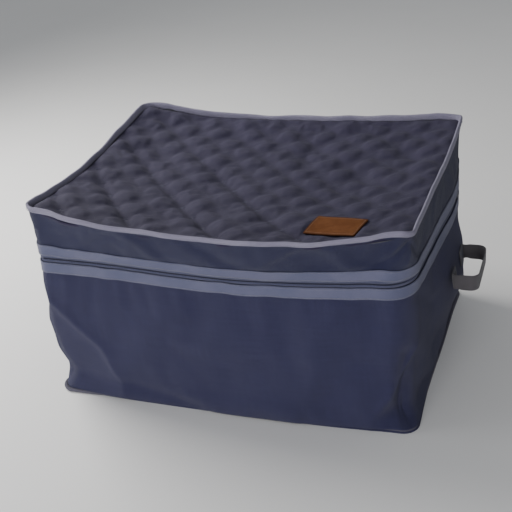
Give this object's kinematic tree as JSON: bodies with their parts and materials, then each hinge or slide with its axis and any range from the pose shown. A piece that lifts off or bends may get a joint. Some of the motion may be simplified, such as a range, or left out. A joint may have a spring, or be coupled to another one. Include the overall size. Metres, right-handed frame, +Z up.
{
  "type": "shoe organizer",
  "caption": "Soft box-shaped shoe storage bag with a zipped quilted lid that opens at the back, webbing side handles and interlocking inner dividers.",
  "frame": {"origin": "on the ground, under the centre of the whole bag with its handles", "axes": "+X to the right along the longest side, the front faces -Y, +Z up; the lid folds back about a line along X at the top of the back wall"},
  "size_m": [0.6682, 0.424, 0.31],
  "materials": {
    "navy_canvas": "plain-woven canvas, matt",
    "quilted_navy": "diamond-quilted fabric, matt",
    "grey_grosgrain": "ribbed tape, matt",
    "lining_cloth": "non-woven cloth, matt",
    "base_board": "pressed board, matt",
    "zip_tape": "woven zip tape, matt",
    "zip_coil": "moulded nylon coil, satin",
    "zip_metal": "dark painted metal, satin",
    "webbing": "woven webbing, matt",
    "brown_leather": "smooth leather, satin"
  },
  "bodies": {
    "root": {"base_panel": "navy_canvas", "base_board": "base_board", "base_binding": "grey_grosgrain", "front_wall": "navy_canvas", "right_wall": "navy_canvas", "back_wall": "navy_canvas", "left_wall": "navy_canvas", "lower_zip_facing": "grey_grosgrain", "lower_zip_tape": "zip_tape", "lower_zip_coil": "zip_coil", "zip_end_stop": "zip_metal", "zip_start_stop": "zip_metal", "rear_hinge_tape": "grey_grosgrain", "right_handle_front_tab": "webbing", "right_handle_rear_tab": "webbing", "left_handle_front_tab": "webbing", "left_handle_rear_tab": "webbing", "front_divider": "lining_cloth", "rear_divider": "lining_cloth", "left_divider": "lining_cloth", "middle_divider": "lining_cloth", "right_divider": "lining_cloth"},
    "lid": {"lid_quilt": "quilted_navy", "lid_lining": "lining_cloth", "lid_binding": "grey_grosgrain", "lid_front_skirt": "navy_canvas", "lid_right_skirt": "navy_canvas", "lid_back_skirt": "navy_canvas", "lid_left_skirt": "navy_canvas", "upper_zip_facing": "grey_grosgrain", "upper_zip_tape": "zip_tape", "upper_zip_coil": "zip_coil", "leather_label": "brown_leather"},
    "zip_slider": {"zip_slider": "zip_metal"},
    "zip_pull": {"zip_pull": "webbing"},
    "right_handle": {"right_handle": "webbing"},
    "left_handle": {"left_handle": "webbing"}
  },
  "joints": [
    {"name": "lid_hinge", "type": "hinge", "parent": "root", "child": "lid", "pos_m": [0, 0.2013, 0.231], "axis": [-1, 0, 0], "range_deg": [0, 165]},
    {"name": "zip_slide", "type": "slide", "parent": "root", "child": "zip_slider", "axis": [0, -1, 0], "range_m": [0, 0.276]},
    {"name": "pull_swing", "type": "hinge", "parent": "zip_slider", "child": "zip_pull", "pos_m": [-0.2737, 0.138, 0.231], "axis": [0, 1, 0], "range_deg": [0, 160]},
    {"name": "right_handle_swing", "type": "hinge", "parent": "root", "child": "right_handle", "pos_m": [0.30905, 0, 0.158], "axis": [0, -1, 0], "range_deg": [-60, 75]},
    {"name": "left_handle_swing", "type": "hinge", "parent": "root", "child": "left_handle", "pos_m": [-0.30905, 0, 0.158], "axis": [0, 1, 0], "range_deg": [-60, 75]}
  ]
}
